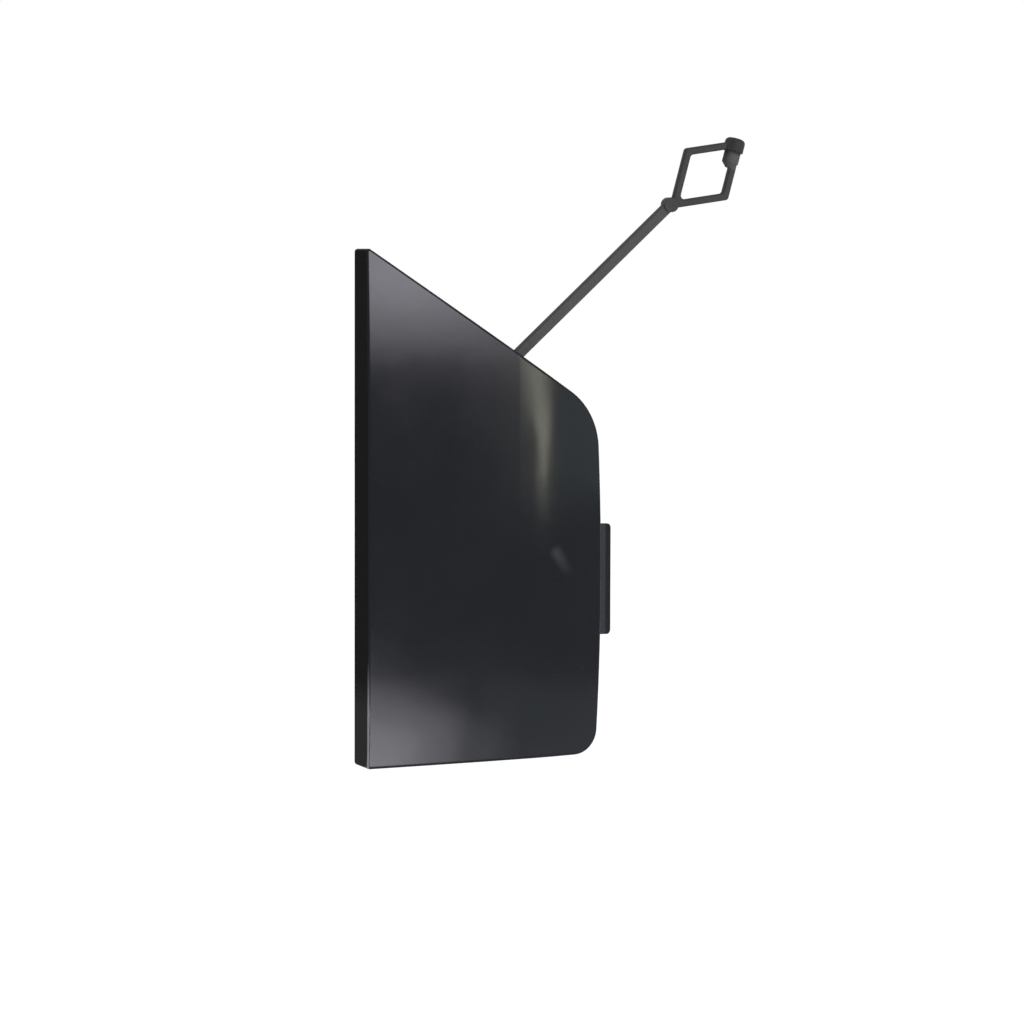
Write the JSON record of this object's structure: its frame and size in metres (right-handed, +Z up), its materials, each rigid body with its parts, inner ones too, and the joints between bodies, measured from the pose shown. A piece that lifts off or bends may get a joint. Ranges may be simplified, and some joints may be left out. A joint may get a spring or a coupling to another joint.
{
  "type": "bumper tow hook cover",
  "caption": "Crowned plastic bumper panel with a sloping top edge, rear wall and ribs, side tongue, snap hooks and a thin tether that ends in a diamond eye.",
  "frame": {"origin": "middle of the tongue's root at the panel's right edge, on the tongue's front face", "axes": "+Z up along the straight left edge, -Y out of the panel's front face, +X to the right as one looks at the front"},
  "size_m": [0.0877, 0.0168, 0.1335],
  "materials": {
    "body": "gloss"
  },
  "bodies": {
    "root": {"tow_hook_cover": "body"}
  },
  "joints": []
}
